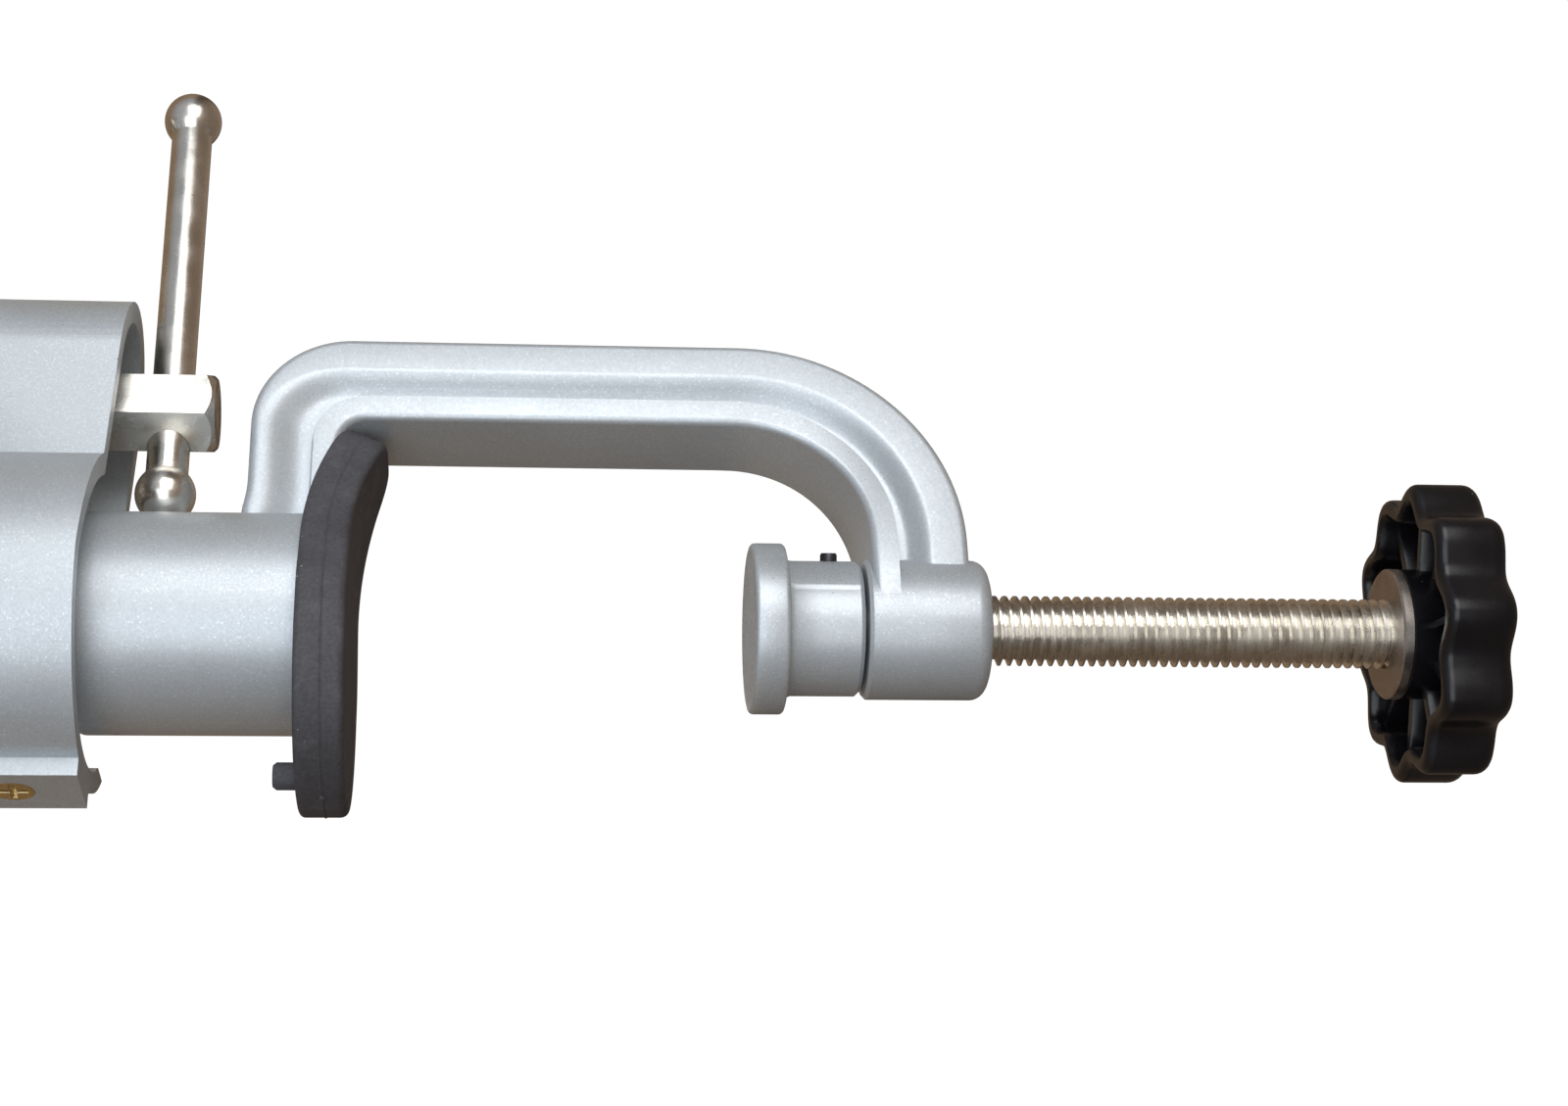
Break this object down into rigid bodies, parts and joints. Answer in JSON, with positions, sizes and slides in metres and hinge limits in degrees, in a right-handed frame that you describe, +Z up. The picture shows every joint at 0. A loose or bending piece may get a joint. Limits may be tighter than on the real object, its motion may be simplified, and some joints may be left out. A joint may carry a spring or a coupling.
{
  "type": "table vise",
  "caption": "Small table vise: ball-jointed vise head on a C clamp with a rubber table pad, a swivel foot and a lobed clamp knob.",
  "frame": {"origin": "on the post's axis, on the flat underside of the rubber table pad, which is the top of the table", "axes": "+Z up along the post, +X towards the user and the clamp's spine, +Y to the side"},
  "size_m": [0.1353, 0.0852, 0.2862],
  "materials": {
    "silver_paint": "satin metallic paint on a casting",
    "rubber_pad": "moulded rubber",
    "bright_steel": "bright plated steel",
    "ball_steel": "turned steel",
    "black_plastic": "glossy moulded plastic",
    "bush_metal": "dull metal",
    "blackened_steel": "blackened steel",
    "yellow_zinc": "yellow zinc plating",
    "liner_plastic": "natural plastic",
    "pad_steel": "ground hardened steel",
    "nut_metal": "machined"
  },
  "bodies": {
    "clamp": {"clamp_frame": "silver_paint", "table_pad": "rubber_pad", "ball_stud": "ball_steel"},
    "foot": {"swivel_foot": "silver_paint", "foot_grub_screw": "blackened_steel"},
    "clamp_screw": {"clamp_spindle": "bright_steel", "knob_bush": "bush_metal", "star_knob": "black_plastic"},
    "swivel": {"ball_liner": "liner_plastic"},
    "head": {"vise_body": "silver_paint", "clamp_bridge": "bright_steel", "bridge_screw": "yellow_zinc", "lock_nut": "bright_steel", "jaw_nut": "nut_metal", "jaw_nut_screws": "yellow_zinc", "fixed_jaw_pad": "pad_steel", "fixed_pad_screws": "blackened_steel"},
    "lock_slide": {"lock_washer": "bright_steel"},
    "lock_screw": {"lock_bolt": "bright_steel"},
    "lock_handle": {"lock_bar": "bright_steel"},
    "front_jaw": {"moving_jaw": "silver_paint", "jaw_thrust_washer": "bright_steel", "moving_jaw_pad": "pad_steel", "moving_pad_screws": "blackened_steel"},
    "jaw_screw": {"jaw_spindle": "bright_steel", "jaw_circlip": "blackened_steel"},
    "jaw_handle": {"jaw_bar": "bright_steel"}
  },
  "joints": [
    {"name": "clamp_travel", "type": "slide", "parent": "clamp", "child": "foot", "axis": [0, 0, 1], "range_m": [-0.0005, 0.054]},
    {"name": "clamp_turn", "type": "hinge", "parent": "foot", "child": "clamp_screw", "pos_m": [0, 0, -0.1], "axis": [0, 0, 1], "range_deg": [-123, 12963]},
    {"name": "head_swivel", "type": "hinge", "parent": "clamp", "child": "swivel", "pos_m": [0, 0, 0.055], "axis": [0, 0, 1], "continuous": true},
    {"name": "head_tilt", "type": "hinge", "parent": "swivel", "child": "head", "pos_m": [0, 0, 0.055], "axis": [1, 0, 0], "range_deg": [-90, 10]},
    {"name": "lock_travel", "type": "slide", "parent": "head", "child": "lock_slide", "axis": [0, 0, 1], "range_m": [-0.000333, 0]},
    {"name": "lock_turn", "type": "hinge", "parent": "lock_slide", "child": "lock_screw", "pos_m": [0.034, 0, 0.026], "axis": [0, 0, 1], "range_deg": [-123, 0]},
    {"name": "lock_bar_slide", "type": "slide", "parent": "lock_screw", "child": "lock_handle", "axis": [1, 0, 0], "range_m": [-0.0005, 0.0025]},
    {"name": "jaw_travel", "type": "slide", "parent": "head", "child": "front_jaw", "axis": [1, 0, 0], "range_m": [-0.025, 0.025]},
    {"name": "jaw_turn", "type": "hinge", "parent": "front_jaw", "child": "jaw_screw", "pos_m": [0.072, 0, 0.086], "axis": [1, 0, 0], "range_deg": [-4503, 4503]},
    {"name": "jaw_bar_slide", "type": "slide", "parent": "jaw_screw", "child": "jaw_handle", "axis": [0, 1, 0], "range_m": [-0.024, 0.024]}
  ],
  "couplings": [
    {"joint": "clamp_turn", "follows": "clamp_travel", "rad_per_m": 4188.8},
    {"joint": "lock_turn", "follows": "lock_travel", "rad_per_m": 6283.2},
    {"joint": "jaw_turn", "follows": "jaw_travel", "rad_per_m": 3141.6}
  ]
}
